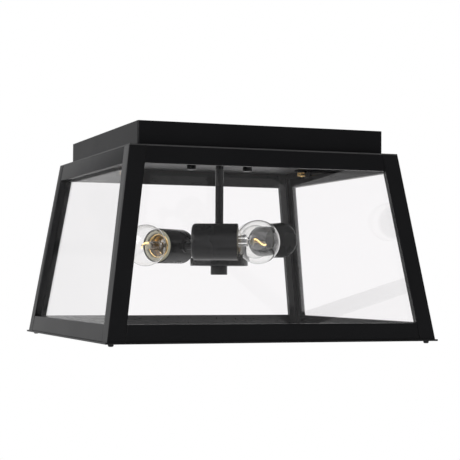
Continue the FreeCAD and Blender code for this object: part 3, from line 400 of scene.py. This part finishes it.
def holder_frame(name):
    """Matrix of a cup's mouth: Z out of the mouth, X towards the stem."""
    angle = math.radians(HEADINGS[name])
    out = Vector((math.cos(angle), math.sin(angle), 0.0))
    mouth = Vector((-out.y, out.x, 0.0))
    inward = -out
    centre = out * ARM_REACH + mouth * (HOLDER_LENGTH / 2)
    centre.z = -HOLDER_DROPS[name]
    turn = Matrix((inward, mouth.cross(inward), mouth)).transposed().to_4x4()
    return Matrix.Translation(centre * MM) @ turn


# ------------------------------------------------------------------ bulbs and sockets
GLOBE_RADIUS = 26.0
GLOBE_REACH = 23.9
NECK_RADIUS = 12.5
NECK_DEPTH = 17.5
NECK_BEND = 5.0
BULB_WALL = 0.55
BASE_RADIUS = 13.15
BASE_RIM = -7.0
BASE_LENGTH = 21.0
THREAD_PITCH = 3.6
THREAD_DEPTH = 0.8
THREAD_STEPS = 8


def globe_profile(inset):
    """Outline of the globe and its neck, moved inwards by the glass thickness."""
    ball = GLOBE_RADIUS - inset
    neck = NECK_RADIUS - inset
    bend = NECK_BEND + inset
    reach = neck + bend
    height = math.sqrt((ball + bend) ** 2 - reach ** 2)
    corner = (reach, GLOBE_REACH - height)
    tangent = math.degrees(math.atan2(height, -reach))
    start = math.degrees(math.atan2(-height, reach))
    points = arc((0.0, GLOBE_REACH), ball, 90.0, start, 44)
    points += arc(corner, bend, tangent, 180.0, 8)[1:]
    low = -NECK_DEPTH + inset
    points += [(neck, low + 2.0), (neck - 0.6, low + 0.6), (neck - 2.4, low)]
    points[0] = (0.0, GLOBE_REACH + ball)
    return points


def make_globe(name, place):
    """Thin clear glass globe on its neck, open inside."""
    outer = globe_profile(0.0)
    inner = globe_profile(BULB_WALL)
    bm = lathe(outer + inner[::-1], 72, place)
    add_piece(f"globe_glass_{name}", bm, BULB_GLASS, f"bulb_{name}",
              replaces=(f"bulb_globe_{name}",))


def thread_profile(crest, low, high):
    """Wavy outline of a rolled thread between two heights, from low to high."""
    turns = int((high - low) / THREAD_PITCH)
    steps = turns * THREAD_STEPS
    points = []
    for index in range(steps + 1):
        wave = 0.5 - 0.5 * math.cos(2 * math.pi * index / THREAD_STEPS)
        height = low + turns * THREAD_PITCH * index / steps
        points.append((crest - THREAD_DEPTH * (1.0 - wave), height))
    return points


def make_base(name, place):
    """Rolled brass screw base with its cone, open where the tip contact sits."""
    low = BASE_RIM - BASE_LENGTH
    rim = BASE_RIM - 0.3
    mouth = BASE_RADIUS - 0.4
    bore = BASE_RADIUS - 1.4
    tip_hole = 6.0
    outside = [(BASE_RADIUS, rim), (BASE_RADIUS, BASE_RIM - 1.6)]
    outside += thread_profile(BASE_RADIUS, low + 0.8, BASE_RIM - 2.0)[::-1]
    outside += [(BASE_RADIUS - 1.0, low), (tip_hole + 1.0, low - 2.8), (tip_hole, low - 3.0)]
    inside = [(tip_hole, low - 2.5), (bore, low + 0.6), (bore, BASE_RIM - 1.6),
              (mouth, BASE_RIM - 1.2), (mouth, rim), (BASE_RADIUS, rim)]
    bm = lathe(outside + inside, 72, place)
    add_piece(f"base_brass_{name}", bm, BRASS, f"bulb_{name}",
              replaces=(f"bulb_base_{name}",))


BEAD_LOW = 17.0
BEAD_HEIGHT = 2.2
BEAD_RADIUS = 4.2
SPIRAL_RADIUS = 3.3
SPIRAL_STRAND = 1.0
SPIRAL_RISE = 14.0
SPIRAL_TURN = 225.0
SPIRAL_START = 70.0
SPIRAL_STEPS = 40
SPIRAL_SIDES = 14


def make_mount(name, place):
    """Glass flare and slim stem inside a bulb."""
    foot = -NECK_DEPTH + 1.0
    shoulder = 10.6
    stem = 5.4
    profile = [(0.0, foot), (8.8, foot), (9.2, foot + 0.5), (8.0, foot + 1.4),
               (6.4, foot + 3.6), (5.6, foot + 7.0), (stem, foot + 12.0), (stem, shoulder)]
    profile += arc((stem - 1.0, shoulder), 1.0, 0, 60, 5)
    profile += [(3.2, shoulder + 2.0), (2.8, shoulder + 3.0), (2.7, BEAD_LOW), (0.0, BEAD_LOW)]
    bm = lathe(profile, 48, place)
    add_piece(f"mount_glass_{name}", bm, BULB_GLASS, f"bulb_{name}",
              replaces=(f"bulb_filament_{name}",))


def make_bead_painted_highlight(name, place):
    """Cream bead on the mount's end, its cream colour a painted highlight on the glass mount's
    end, with the rod that carries the spiral's far end.
    """
    top = BEAD_LOW + BEAD_HEIGHT
    end = top + SPIRAL_RISE - 0.6
    seat = BEAD_LOW - 3.0
    edge = 0.7
    flat = BEAD_RADIUS - edge
    profile = [(0.0, seat), (1.6, seat), (2.6, BEAD_LOW)]
    profile += arc((flat, BEAD_LOW + edge), edge, -90, 0, 4)
    profile += arc((flat, top - edge), edge, 0, 90, 4)
    profile += [(0.7, top), (0.6, end - 0.5), (0.4, end), (0.0, end)]
    bm = lathe(profile, 36, place)
    add_piece(f"filament_bead_painted_highlight_{name}", bm, CERAMIC, f"bulb_{name}")


def make_spiral(name, place):
    """Golden filament that winds up from the bead, a little over half a turn."""
    start = BEAD_LOW + BEAD_HEIGHT - 0.4
    turn = Matrix.Rotation(math.radians(SPIRAL_START), 4, "Z")
    section = Matrix.Translation((SPIRAL_RADIUS * MM, 0.0, start * MM))
    bm = bmesh.new()
    bmesh.ops.create_circle(bm, segments=SPIRAL_SIDES, radius=SPIRAL_STRAND * MM,
                            matrix=turn @ section @ Matrix.Rotation(math.pi / 2, 4, "X"))
    bmesh.ops.spin(bm, geom=bm.verts[:] + bm.edges[:], cent=(0, 0, 0), axis=(0, 0, 1),
                   dvec=(0, 0, SPIRAL_RISE / SPIRAL_STEPS * MM),
                   angle=math.radians(SPIRAL_TURN), steps=SPIRAL_STEPS)
    bmesh.ops.holes_fill(bm, edges=[edge for edge in bm.edges if edge.is_boundary])
    bmesh.ops.recalc_face_normals(bm, faces=bm.faces)
    bmesh.ops.transform(bm, matrix=place, verts=bm.verts)
    add_piece(f"filament_spiral_{name}", bm, FILAMENT_PAINTED_GLOW, f"bulb_{name}")


def make_spiral_wire(name, place):
    """Thin wire from the rod to the spiral's far end."""
    rise = BEAD_LOW + BEAD_HEIGHT + SPIRAL_RISE - 1.0
    radius = 0.35
    end = SPIRAL_RADIUS + 0.2
    turn = Matrix.Rotation(math.radians(SPIRAL_START + SPIRAL_TURN), 4, "Z")
    lay = Matrix.Translation((0, 0, rise * MM)) @ turn @ Matrix.Rotation(math.pi / 2, 4, "Y")
    profile = [(0.0, 0.0), (radius, 0.0), (radius, SPIRAL_RADIUS), (radius - 0.1, end), (0.0, end)]
    bm = lathe(profile, 12, place @ lay)
    add_piece(f"filament_wire_{name}", bm, SOLDER, f"bulb_{name}")


def make_insulator(name, place):
    """Cream socket insulator with a wide collar at the mouth and a recess for the contact."""
    rim = -1.0
    collar = 20.3
    collar_rear = -8.0
    collar_edge = 0.8
    mouth = 16.2
    mouth_edge = 0.7
    seat = -3.9
    body = 17.3
    bevel = 1.5
    bore = 14.1
    floor = -34.25
    recess = 5.0
    recess_floor = floor - 2.4
    rear = -52.7
    profile = [(0.0, rear), (body - bevel, rear), (body, rear + bevel),
               (body, collar_rear - bevel), (collar, collar_rear)]
    profile += arc((collar - collar_edge, rim - collar_edge), collar_edge, 0, 90, 5)
    profile += arc((mouth + mouth_edge, rim - mouth_edge), mouth_edge, 90, 180, 5)
    profile += [(mouth, seat), (bore, seat), (bore, floor), (recess, floor),
                (recess, recess_floor), (0.0, recess_floor)]
    bm = lathe(profile, 72, place)
    add_piece(f"insulator_cream_{name}", bm, CERAMIC, "lantern",
              replaces=(f"socket_insulator_{name}",))


def make_screw_shell(name, place):
    """Rolled brass screw shell of a socket with its flat lip."""
    outer = 13.86
    lip = outer + 2.1
    bore = outer - 0.5
    hole = 7.0
    top = -3.2
    low = -34.1
    inside = thread_profile(bore + 0.35, low + 2.0, top - 1.2)
    profile = [(hole, low), (outer, low), (outer, top - 0.5), (lip, top - 0.5), (lip, top),
               (bore + 0.2, top)]
    profile += inside[::-1]
    profile += [(bore - 0.4, low + 0.6), (hole, low + 0.6), (hole, low)]
    bm = lathe(profile, 72, place)
    add_piece(f"screw_shell_brass_{name}", bm, BRASS, "lantern",
              replaces=(f"screw_shell_{name}",))


def make_bulbs():
    """Everything inside and in front of the three cups."""
    for name in HEADINGS:
        place = holder_frame(name)
        make_globe(name, place)
        make_base(name, place)
        make_mount(name, place)
        make_bead_painted_highlight(name, place)
        make_spiral(name, place)
        make_spiral_wire(name, place)
        make_insulator(name, place)
        make_screw_shell(name, place)


# ------------------------------------------------------------------ turned and hexagon metal
CAP_SPACING = 73.6
CAP_TOP = -29.15
CAP_HEIGHT = 11.6
CAP_RADIUS = 5.6
HUB_LOW = -158.5
HUB_HEIGHT = 9.8
HUB_RADIUS = 35.5
HUB_WALL = 1.5
CUP_RADIUS = 21.8
CUP_WALL = 1.2
STEM_RADIUS = 5.0
STEM_ROOT = 4.6
STEM_HOLE = 5.1
SCREW_SIDE = 188.4
SCREW_FRONT = 186.4


def make_cap_nuts():
    """Two round cap nuts with a softly rounded closed end."""
    low = CAP_TOP - CAP_HEIGHT
    bore = 2.6
    bore_end = CAP_TOP - 7.0
    edge = 1.0
    top_edge = 0.3
    profile = [(0.0, low), (1.6, low)]
    profile += arc((CAP_RADIUS - edge, low + edge), edge, -90, 0, 6)
    profile += arc((CAP_RADIUS - top_edge, CAP_TOP - top_edge), top_edge, 0, 90, 3)
    profile += [(bore, CAP_TOP), (bore, bore_end), (0.0, bore_end)]
    for side, sign in (("left", -1), ("right", 1)):
        bm = lathe(profile, 48, Matrix.Translation((sign * CAP_SPACING / 2 * MM, 0.0, 0.0)))
        add_piece(f"cap_nut_round_{side}", bm, COAT_SMOOTH, f"cap_nut_{side}",
                  replaces=(f"cap_nut_{side}",))


def stem_thread(low, high):
    """Outline of the stem's fine thread between two heights, one millimetre a turn."""
    points = []
    height = low
    while height < high:
        points += [(STEM_ROOT, height), (STEM_RADIUS, height + 0.25),
                   (STEM_RADIUS, height + 0.5), (STEM_ROOT, height + 0.75)]
        height += 1.0
    return points


def make_stem():
    """Stem tube with its shoulder and the threads of its two ends."""
    bore = 3.4
    top = -12.0
    low = -163.6
    low_thread_end = low + 13.0
    high_thread = -25.0
    shoulder = 7.0
    shoulder_low = -30.9
    shoulder_top = -29.1
    profile = [(bore, low)] + stem_thread(low, low_thread_end)
    profile += [(STEM_RADIUS, low_thread_end), (STEM_RADIUS, shoulder_low)]
    profile += [(shoulder - 0.4, shoulder_low)]
    profile += arc((shoulder - 0.4, shoulder_low + 0.4), 0.4, -90, 0, 4)
    profile += [(shoulder, shoulder_top), (STEM_RADIUS, shoulder_top), (STEM_RADIUS, high_thread)]
    profile += stem_thread(high_thread, top - 1.0) + [(STEM_ROOT, top), (bore, top), (bore, low)]
    bm = lathe(profile, 40)
    add_piece("stem_tube", bm, COAT_SMOOTH, "lantern", replaces=("stem",))


def make_hub():
    """Round dish of the hub with softly rounded edges."""
    floor = HUB_LOW + HUB_WALL
    rim = HUB_LOW + HUB_HEIGHT
    inner = HUB_RADIUS - HUB_WALL
    edge = 0.6
    lip = 0.4
    profile = [(STEM_HOLE, HUB_LOW), (HUB_RADIUS - edge, HUB_LOW)]
    profile += arc((HUB_RADIUS - edge, HUB_LOW + edge), edge, -90, 0, 6)
    profile += arc((HUB_RADIUS - lip, rim - lip), lip, 0, 90, 4)
    profile += arc((inner + lip, rim - lip), lip, 90, 180, 4)
    profile += [(inner, floor + 0.5), (inner - 0.5, floor), (STEM_HOLE, floor),
                (STEM_HOLE, HUB_LOW)]
    bm = lathe(profile, 96)
    add_piece("hub_dish_spun", bm, COAT_SMOOTH, "lantern", replaces=("hub_dish",))


def make_finial():
    """Plain round finial with softened edges."""
    top = HUB_LOW - 0.05
    low = top - 10.9
    bore_end = top - 6.4
    radius = 10.3
    edge = 0.8
    top_edge = 0.4
    profile = [(0.0, low), (radius - edge, low)]
    profile += arc((radius - edge, low + edge), edge, -90, 0, 6)
    profile += arc((radius - top_edge, top - top_edge), top_edge, 0, 90, 4)
    profile += [(STEM_HOLE, top), (STEM_HOLE, bore_end), (0.0, bore_end)]
    bm = lathe(profile, 64)
    add_piece("finial_round", bm, COAT_SMOOTH, "finial", replaces=("finial",))


def make_cup(name, place):
    """Smooth black cup with a rounded rear edge and a thin rounded mouth."""
    rear = -HOLDER_LENGTH
    bend = 4.6
    lip = 0.45
    inner = CUP_RADIUS - CUP_WALL
    profile = [(0.0, rear), (CUP_RADIUS - bend, rear)]
    profile += arc((CUP_RADIUS - bend, rear + bend), bend, -90, 0, 12)
    profile += arc((CUP_RADIUS - lip, -lip), lip, 0, 90, 4)
    profile += arc((inner + lip, -lip), lip, 90, 180, 4)
    profile += [(inner, rear + bend)]
    profile += arc((CUP_RADIUS - bend, rear + bend), bend - CUP_WALL, 0, -90, 8)
    profile += [(0.0, rear + CUP_WALL)]
    bm = lathe(profile, 96, place)
    add_piece(f"cup_black_{name}", bm, COAT_SMOOTH, "lantern",
              replaces=(f"holder_cup_{name}",))


def hexagon_nut(flats, low, height):
    """A hexagon nut about Z with chamfered corners, in a bmesh."""
    bm = bmesh.new()
    corner = flats / math.sqrt(3.0)
    chamfer = 0.45
    bmesh.ops.create_cone(bm, cap_ends=True, segments=6, radius1=corner * MM,
                          radius2=corner * MM, depth=height * MM)
    bmesh.ops.rotate(bm, verts=bm.verts, matrix=Matrix.Rotation(math.pi / 6, 3, "Z"))
    bmesh.ops.translate(bm, verts=bm.verts, vec=(0.0, 0.0, (low + height / 2) * MM))
    bmesh.ops.bevel(bm, geom=list(bm.edges), offset=chamfer * MM, offset_type="OFFSET",
                    segments=2, profile=0.5, affect="EDGES", clamp_overlap=True, material=-1)
    return bm


def arm_frame(name):
    """Matrix of an arm: Z away from the stem's axis, at the holder's height."""
    angle = math.radians(HEADINGS[name])
    out = Vector((math.cos(angle), math.sin(angle), 0.0))
    up = Vector((0.0, 0.0, 1.0))
    turn = Matrix((up, out.cross(up), out)).transposed().to_4x4()
    return Matrix.Translation((0, 0, -HOLDER_DROPS[name] * MM)) @ turn


def make_arm(name):
    """Arm tube with a hexagon at the tab's two sides and one at the cup."""
    bore = 3.2
    radius = 5.0
    start = 23.5
    end = 56.3
    nut_height = 4.0
    bm = lathe([(bore, start), (radius - 0.3, start), (radius, start + 0.3), (radius, end),
                (bore, end), (bore, start)], 32)
    for low in (25.0, 31.0, 49.85):
        merge(bm, hexagon_nut(NUT_FLATS, low, nut_height))
    bmesh.ops.transform(bm, matrix=arm_frame(name), verts=bm.verts)
    add_piece(f"arm_tube_{name}", bm, COAT_SMOOTH, "lantern", smooth=False,
              replaces=(f"arm_{name}",))


def make_stem_nuts():
    """The two hexagon nuts on the stem, in the canopy and on the bracket."""
    height = 4.8
    canopy_floor = -26.3
    bracket_top = HUB_LOW + 3.5
    bm = hexagon_nut(NUT_FLATS, canopy_floor, height)
    merge(bm, hexagon_nut(NUT_FLATS, bracket_top, height))
    add_piece("stem_hexagons", bm, COAT_SMOOTH, "lantern", smooth=False,
              replaces=("stem_nuts",))


def socket_recess(bm, radius):
    """Pull the ring of vertices at one radius out into a hexagon key's outline."""
    for vertex in bm.verts:
        reach = math.hypot(vertex.co.x, vertex.co.y)
        if abs(reach - radius * MM) < 1e-6:
            angle = math.atan2(vertex.co.y, vertex.co.x) % (math.pi / 3) - math.pi / 6
            vertex.co.x *= math.cos(math.pi / 6) / math.cos(angle)
            vertex.co.y *= math.cos(math.pi / 6) / math.cos(angle)


def make_flange_screws():
    """Black button-head screws under the four corners, with hexagon recesses."""
    low = -247.3
    top = -244.5
    head = 3.2
    recess = 1.5
    recess_floor = low + 1.3
    shank = 1.7
    shank_end = -234.5
    profile = [(0.0, recess_floor), (recess, recess_floor), (recess, low + 0.05), (2.0, low),
               (2.5, low + 0.25), (3.0, low + 0.9), (head, low + 1.8), (head, top - 0.1),
               (head - 0.1, top), (shank, top), (shank, shank_end), (0.0, shank_end)]
    screws = bmesh.new()
    for place in four_places(-SCREW_SIDE, -SCREW_FRONT):
        bm = lathe(profile, 36)
        socket_recess(bm, recess)
        bmesh.ops.transform(bm, matrix=place, verts=bm.verts)
        merge(screws, bm)
    add_piece("flange_screw_heads", screws, COAT_SMOOTH, "lantern", smooth=False,
              replaces=("flange_screws",))


def make_clip_nuts():
    """Brass hexagon nuts, washers and rounded screw ends under the clips, and black spacers."""
    washer_top = -33.1
    washer_low = washer_top - 0.5
    head = washer_top - 4.6
    flats = 11.0
    nut_height = 4.1
    screw = 1.9
    screw_top = -28.0
    washer = 6.2
    spacer = 6.6
    spacer_bore = 2.0
    screw_end = [(0.0, head - 0.9), (1.3, head - 0.8), (screw, head - 0.2), (screw, screw_top),
                 (0.0, screw_top)]
    washer_ring = [(screw, washer_low), (washer - 0.2, washer_low), (washer, washer_low + 0.2),
                   (washer - 0.2, washer_top), (screw, washer_top), (screw, washer_low)]
    spacer_ring = [(spacer_bore, washer_top), (spacer - 0.2, washer_top),
                   (spacer, washer_top + 0.2), (spacer, CLIP_UNDERSIDE),
                   (spacer_bore, CLIP_UNDERSIDE), (spacer_bore, washer_top)]
    nuts = bmesh.new()
    spacers = bmesh.new()
    for place in four_places(CLIP_ACROSS, CLIP_ALONG):
        bm = hexagon_nut(flats, head, nut_height)
        merge(bm, lathe(screw_end, 24))
        merge(bm, lathe(washer_ring, 40))
        bmesh.ops.transform(bm, matrix=place, verts=bm.verts)
        merge(nuts, bm)
        merge(spacers, lathe(spacer_ring, 40, place))
    add_piece("clip_nuts_brass", nuts, BRASS, "lantern", smooth=False,
              replaces=("clip_screws",))
    add_piece("clip_spacers", spacers, COAT_SMOOTH, "lantern", smooth=False)


def make_metalwork():
    """Turned pieces, nuts and screws."""
    make_cap_nuts()
    make_stem()
    make_hub()
    make_finial()
    make_stem_nuts()
    make_flange_screws()
    make_clip_nuts()
    for name in HEADINGS:
        make_cup(name, holder_frame(name))
        make_arm(name)


# ------------------------------------------------------------------ the CAD's own pieces
SHEET_EDGE = 0.35
RAIL_EDGE = 0.7
POST_EDGE = 0.6


def soften(node, width):
    """Small rounded edges on a CAD piece, made by modifiers only."""
    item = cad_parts[node]
    weld = item.modifiers.new("weld", "WELD")
    weld.merge_threshold = 0.00001
    bevel = item.modifiers.new("soft_edges", "BEVEL")
    bevel.width = width * MM
    bevel.segments = 2
    bevel.limit_method = "ANGLE"
    bevel.angle_limit = math.radians(35.0)


def soften_frame():
    """Rounded edges on the CAD's own black pieces."""
    for node in ("canopy", "roof_plate", "bottom_flange", "holder_bracket", "pane_clips"):
        soften(node, SHEET_EDGE)
    for side in SIDES:
        soften(f"top_rail_{side}", RAIL_EDGE)
        soften(f"bottom_rail_{side}", RAIL_EDGE)
    for corner in CORNERS:
        soften(f"post_{corner}", POST_EDGE)


def coat(node, material):
    """Give a CAD node its finish."""
    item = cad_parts[node]
    if not item.material_slots:
        item.data.materials.append(material)
    for place in item.material_slots:
        place.material = material


def dress_frame():
    """Black coat, glass and bare metal on the CAD's own pieces."""
    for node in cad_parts:
        coat(node, COAT)
    for side in SIDES:
        coat(f"pane_{side}", PANE_GLASS)
        coat(f"top_rail_{side}", COAT_TOP_PAINTED_SHADE)
    # The canopy and top rails take the coat with painted shade, the roof plate the coat with a
    # painted sheen.
    coat("canopy", COAT_TOP_PAINTED_SHADE)
    coat("roof_plate", COAT_UNDER_PAINTED_SHEEN)
    for node in ("crossbar", "canopy_studs"):
        coat(node, ZINC)
    for name in HEADINGS:
        coat(f"centre_contact_{name}", BRASS)
        coat(f"bulb_tip_{name}", SOLDER)


dress_frame()
make_bulbs()
make_metalwork()
soften_frame()
make_camera()
make_world()
make_floor()
make_lamp()

scene = bpy.context.scene
scene.view_settings.view_transform = "Standard"
